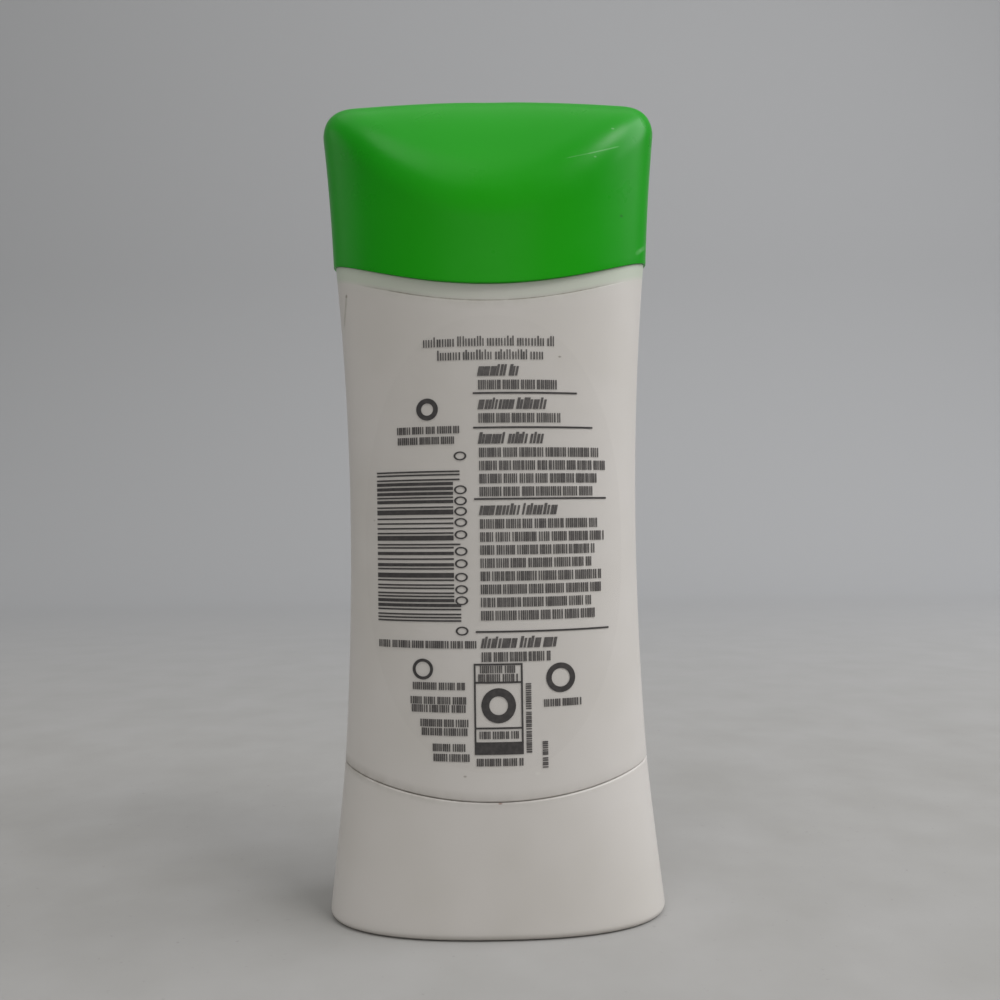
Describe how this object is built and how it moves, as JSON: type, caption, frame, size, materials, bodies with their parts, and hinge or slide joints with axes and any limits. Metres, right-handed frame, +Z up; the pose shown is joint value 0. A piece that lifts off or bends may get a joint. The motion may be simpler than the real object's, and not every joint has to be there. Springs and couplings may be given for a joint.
{
  "type": "deodorant stick",
  "caption": "Oval, waisted deodorant stick with a push-on cap, a screw-driven elevator turned by a hand wheel under the base, and film labels front and back.",
  "frame": {"origin": "centre of the foot, on the surface it stands on", "axes": "+Z up along the pack; X across the width; the printed back label faces -Y"},
  "size_m": [0.058, 0.0294, 0.1408],
  "materials": {
    "white_plastic": "satin",
    "green_plastic": "satin",
    "stick": "waxy",
    "clear_film": "clear",
    "dark_print": "printed",
    "grey_print": "printed"
  },
  "bodies": {
    "container": {"base": "white_plastic", "barrel": "white_plastic", "back_label": "clear_film", "front_label": "clear_film", "print_bars": "dark_print", "print_lines": "dark_print", "print_rows": "grey_print"},
    "dial": {"dial_screw": "white_plastic"},
    "carriage": {"elevator": "white_plastic", "deodorant_stick": "stick"},
    "cap": {"cap": "green_plastic"}
  },
  "joints": [
    {"name": "dial_turn", "type": "hinge", "parent": "container", "child": "dial", "pos_m": [0, 0, 0.006], "axis": [0, 0, 1], "range_deg": [0, 4680]},
    {"name": "elevator_lift", "type": "slide", "parent": "container", "child": "carriage", "axis": [0, 0, 1], "range_m": [0, 0.078]},
    {"name": "cap_pull", "type": "slide", "parent": "carriage", "child": "cap", "axis": [0, 0, 1], "range_m": [0, 0.04]}
  ],
  "couplings": [
    {"joint": "dial_turn", "follows": "elevator_lift", "rad_per_m": 1047.2}
  ]
}
